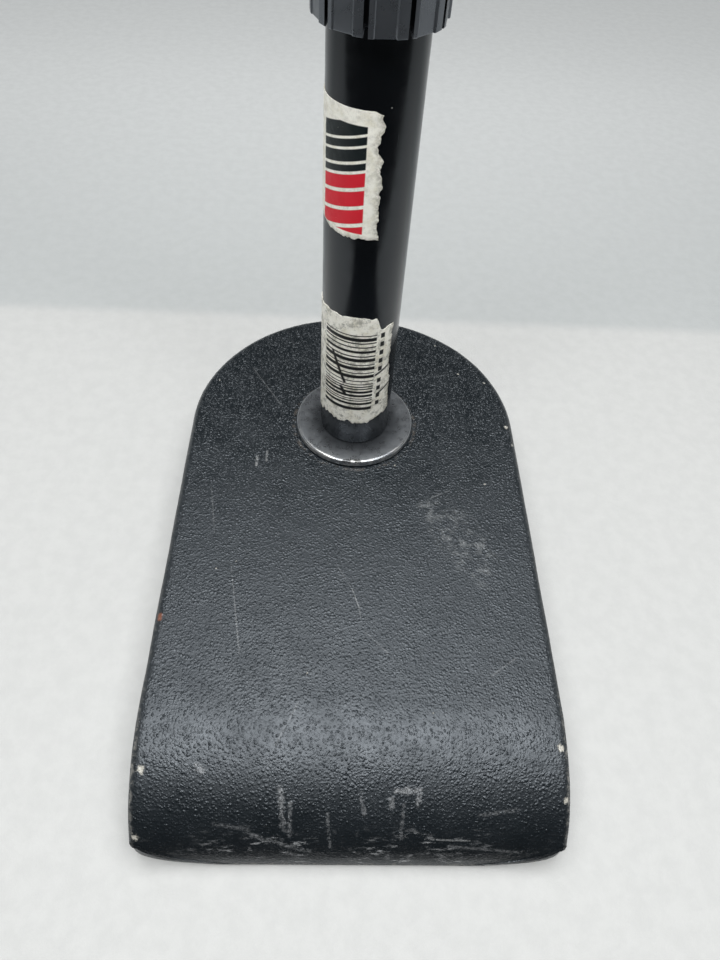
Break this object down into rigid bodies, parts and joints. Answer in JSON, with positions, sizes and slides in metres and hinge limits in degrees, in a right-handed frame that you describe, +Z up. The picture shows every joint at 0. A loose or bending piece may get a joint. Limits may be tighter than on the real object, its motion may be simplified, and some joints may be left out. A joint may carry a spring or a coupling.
{
  "type": "desktop microphone stand",
  "caption": "Desktop microphone stand: a heavy rounded cast base, a telescopic round column and a fluted twist clutch.",
  "frame": {"origin": "centre of the footprint, on the table under the feet", "axes": "+Z up along the column, -Y to the long rounded front edge of the base, +X to the right seen from the front"},
  "size_m": [0.108, 0.184, 0.229],
  "materials": {
    "cast_iron_black": "black wrinkle powder coat on a rough casting, worn at the edges",
    "tube_black": "gloss black",
    "grip_black": "satin black",
    "flange_gunmetal": "blackened steel, rim worn bright",
    "zinc_steel": "zinc plated",
    "brass": "turned",
    "white_nylon": "moulded",
    "black_rubber": "matte",
    "label_paper": "worn printed film label"
  },
  "bodies": {
    "stand": {"base_casting": "cast_iron_black", "foot_front_left": "black_rubber", "foot_front_right": "black_rubber", "foot_rear_left": "black_rubber", "foot_rear_right": "black_rubber", "base_bolt": "zinc_steel", "base_lock_washer": "zinc_steel", "base_flat_washer": "zinc_steel", "flange_washer": "flange_gunmetal", "tube_plug": "zinc_steel", "outer_tube": "tube_black", "clutch_ferrule": "zinc_steel", "clutch_collet": "white_nylon", "upper_label": "label_paper", "lower_label": "label_paper"},
    "guide": {"guide_bush": "white_nylon"},
    "mast": {"inner_tube": "tube_black", "threaded_end": "zinc_steel"},
    "lifter": {"thrust_washer": "brass"},
    "grip": {"clutch_grip": "grip_black", "dust_ring": "black_rubber"}
  },
  "joints": [
    {"name": "column_slide", "type": "slide", "parent": "stand", "child": "guide", "axis": [0, 0, 1], "range_m": [0, 0.1016]},
    {"name": "column_turn", "type": "hinge", "parent": "guide", "child": "mast", "pos_m": [0, 0.0365, 0.1], "axis": [0, 0, 1], "continuous": true},
    {"name": "clutch_lift", "type": "slide", "parent": "stand", "child": "lifter", "axis": [0, 0, 1], "range_m": [0, 0.00151]},
    {"name": "clutch_turn", "type": "hinge", "parent": "lifter", "child": "grip", "pos_m": [0, 0.0365, 0.17], "axis": [0, 0, 1], "range_deg": [0, 360]}
  ],
  "couplings": [
    {"joint": "clutch_lift", "follows": "clutch_turn", "m_per_rad": 0.00023873}
  ]
}
